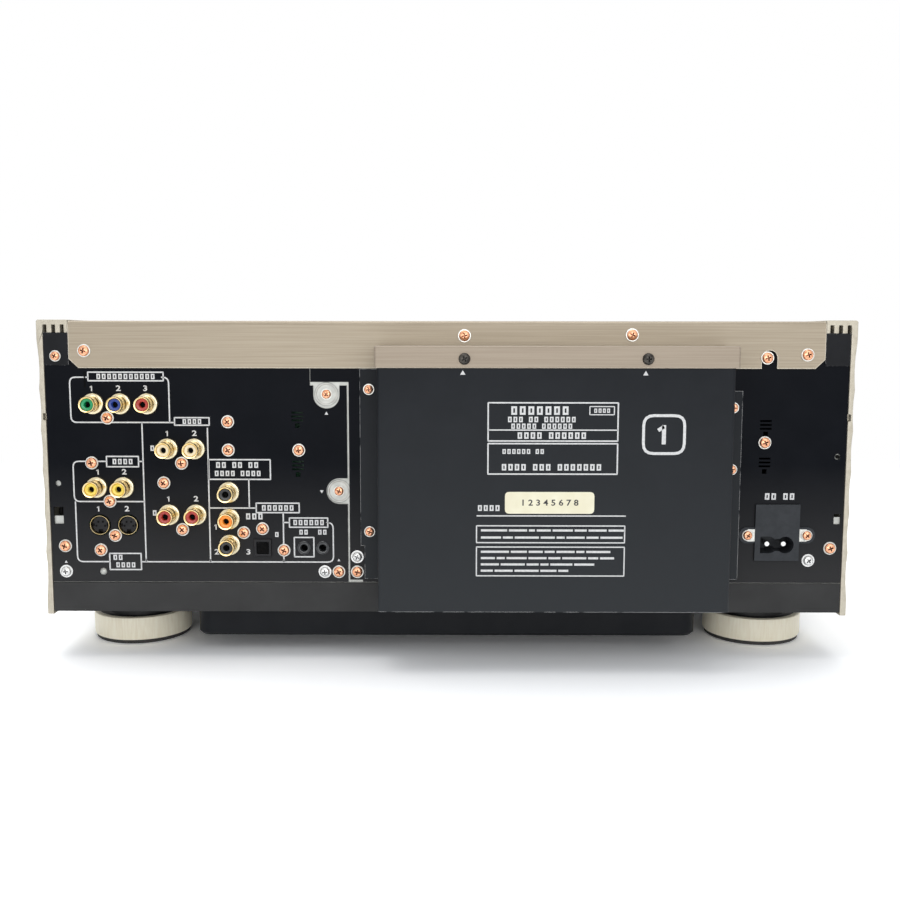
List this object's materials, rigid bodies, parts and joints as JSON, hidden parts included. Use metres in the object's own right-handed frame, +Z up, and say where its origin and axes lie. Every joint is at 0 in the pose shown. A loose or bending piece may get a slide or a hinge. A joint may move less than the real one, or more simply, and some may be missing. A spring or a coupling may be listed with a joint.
{
  "type": "laserdisc player",
  "caption": "Free-standing disc player for large and small discs, with nested sliding trays, pickup mechanism and rear connector panel.",
  "frame": {"origin": "middle of the footprint, on the surface the feet stand on", "axes": "+Z up, front face towards -Y, connector side towards +Y, +X to the right seen from the front"},
  "size_m": [0.42, 0.466, 0.178],
  "materials": {
    "black_steel": "satin",
    "gold_aluminium": "brushed, champagne anodised",
    "gold_steel": "brushed metallic, champagne",
    "plated_steel": "zinc plated",
    "gold_plate": "gold plated",
    "insert_plastic": "coloured by signal",
    "black_plastic": "fine grain",
    "rubber": "matt",
    "copper_plate": "copper plated",
    "dark_screw": "black oxide",
    "bright_steel": "ground",
    "motor_steel": "drawn can",
    "core_iron": "varnished laminations",
    "coil_tape": "wound tape",
    "board": "solder mask",
    "white_plastic": "natural acetal",
    "pulley_brass": "turned",
    "plain_aluminium": "cast and turned",
    "lens": "coated",
    "smoked_window": "smoked"
  },
  "bodies": {
    "housing": {"base_pan": "black_steel", "bottom_chassis": "black_steel", "box_lid": "gold_steel", "clamp_bridge": "plated_steel", "connector_board": "board", "connector_panel": "black_steel", "control_jacks": "black_plastic", "copper_screws": "copper_plate", "corner_brackets": "black_steel", "display_window": "smoked_window", "foot_cores": "black_plastic", "foot_pads": "rubber", "foot_rings": "gold_aluminium", "frame_dampers": "rubber", "front_board": "board", "front_panel": "gold_aluminium", "guide_rods": "bright_steel", "inlet_pins": "bright_steel", "jack_inserts": "insert_plastic", "jack_shells": "gold_plate", "lid_screws": "dark_screw", "loading_belt": "rubber", "main_board": "board", "mains_inlet": "black_plastic", "mechanism_frame": "plated_steel", "optical_socket": "black_plastic", "plated_fasteners": "plated_steel", "power_board": "board", "rear_box": "black_steel", "rear_frame": "plated_steel", "rear_panel": "black_steel", "side_panel_left": "gold_aluminium", "side_panel_right": "gold_aluminium", "small_motors": "motor_steel", "spindle_motor": "motor_steel", "svideo_cores": "black_plastic", "svideo_shells": "gold_plate", "top_cover": "gold_steel", "transformer_coils": "coil_tape", "transformer_core": "core_iron"},
    "large_tray": {"large_tray": "black_plastic", "large_tray_front": "gold_aluminium"},
    "small_tray": {"small_tray": "black_plastic", "small_tray_front": "gold_aluminium"},
    "drive_gear": {"drive_gear": "white_plastic"},
    "motor_pulley": {"motor_pulley": "pulley_brass"},
    "turntable": {"turntable": "plain_aluminium"},
    "centring_cone": {"centring_cone": "white_plastic"},
    "clamp_arm": {"clamp_arm": "plated_steel"},
    "clamper": {"clamper": "black_plastic"},
    "pickup": {"pickup_carriage": "plain_aluminium", "pickup_lenses": "lens"},
    "feed_gear": {"feed_gear": "white_plastic"},
    "power_button": {"power_button": "gold_aluminium"},
    "large_tray_button": {"large_tray_button": "gold_aluminium"},
    "small_tray_button": {"small_tray_button": "gold_aluminium"},
    "play_button": {"play_button": "gold_aluminium"},
    "stop_button": {"stop_button": "gold_aluminium"},
    "back_button": {"back_button": "gold_aluminium"},
    "forward_button": {"forward_button": "gold_aluminium"}
  },
  "joints": [
    {"name": "large_tray_slide", "type": "slide", "parent": "housing", "child": "large_tray", "axis": [0, -1, 0], "range_m": [0, 0.295]},
    {"name": "small_tray_slide", "type": "slide", "parent": "large_tray", "child": "small_tray", "axis": [0, -1, 0], "range_m": [0, 0.256]},
    {"name": "drive_gear_spin", "type": "hinge", "parent": "housing", "child": "drive_gear", "pos_m": [0.128, -0.1845, 0.1], "axis": [0, 0, 1], "range_deg": [-940, 0]},
    {"name": "motor_pulley_spin", "type": "hinge", "parent": "housing", "child": "motor_pulley", "pos_m": [0.128, -0.1225, 0.1], "axis": [0, 0, 1], "range_deg": [-2890, 0]},
    {"name": "turntable_spin", "type": "hinge", "parent": "housing", "child": "turntable", "pos_m": [0, -0.0365, 0.12], "axis": [0, 0, 1], "continuous": true},
    {"name": "cone_slide", "type": "slide", "parent": "turntable", "child": "centring_cone", "axis": [0, 0, -1], "range_m": [0, 0.0015], "stiffness_N_per_m": 200, "springref_m": -0.0005},
    {"name": "clamp_arm_lift", "type": "hinge", "parent": "housing", "child": "clamp_arm", "pos_m": [0, -0.1825, 0.153], "axis": [1, 0, 0], "range_deg": [0, 4]},
    {"name": "clamper_spin", "type": "hinge", "parent": "clamp_arm", "child": "clamper", "pos_m": [0, -0.0365, 0.14], "axis": [0, 0, 1], "continuous": true},
    {"name": "pickup_slide", "type": "slide", "parent": "housing", "child": "pickup", "axis": [0, 1, 0], "range_m": [0, 0.104]},
    {"name": "feed_gear_spin", "type": "hinge", "parent": "housing", "child": "feed_gear", "pos_m": [-0.076, 0.0155, 0.095], "axis": [0, 0, 1], "range_deg": [0, 600]},
    {"name": "power_button_press", "type": "slide", "parent": "housing", "child": "power_button", "axis": [0, 1, 0], "range_m": [0, 0.0012], "stiffness_N_per_m": 400, "springref_m": -0.0012},
    {"name": "large_tray_button_press", "type": "slide", "parent": "housing", "child": "large_tray_button", "axis": [0, 1, 0], "range_m": [0, 0.0012], "stiffness_N_per_m": 400, "springref_m": -0.0012},
    {"name": "small_tray_button_press", "type": "slide", "parent": "housing", "child": "small_tray_button", "axis": [0, 1, 0], "range_m": [0, 0.0012], "stiffness_N_per_m": 400, "springref_m": -0.0012},
    {"name": "play_button_press", "type": "slide", "parent": "housing", "child": "play_button", "axis": [0, 1, 0], "range_m": [0, 0.0012], "stiffness_N_per_m": 400, "springref_m": -0.0012},
    {"name": "stop_button_press", "type": "slide", "parent": "housing", "child": "stop_button", "axis": [0, 1, 0], "range_m": [0, 0.0012], "stiffness_N_per_m": 400, "springref_m": -0.0012},
    {"name": "back_button_press", "type": "slide", "parent": "housing", "child": "back_button", "axis": [0, 1, 0], "range_m": [0, 0.0012], "stiffness_N_per_m": 400, "springref_m": -0.0012},
    {"name": "forward_button_press", "type": "slide", "parent": "housing", "child": "forward_button", "axis": [0, 1, 0], "range_m": [0, 0.0012], "stiffness_N_per_m": 400, "springref_m": -0.0012}
  ],
  "couplings": [
    {"joint": "drive_gear_spin", "follows": "large_tray_slide", "rad_per_m": -55.556},
    {"joint": "motor_pulley_spin", "follows": "large_tray_slide", "rad_per_m": -170.78},
    {"joint": "feed_gear_spin", "follows": "pickup_slide", "rad_per_m": 100},
    {"joint": "clamper_spin", "follows": "turntable_spin", "ratio": 1}
  ]
}
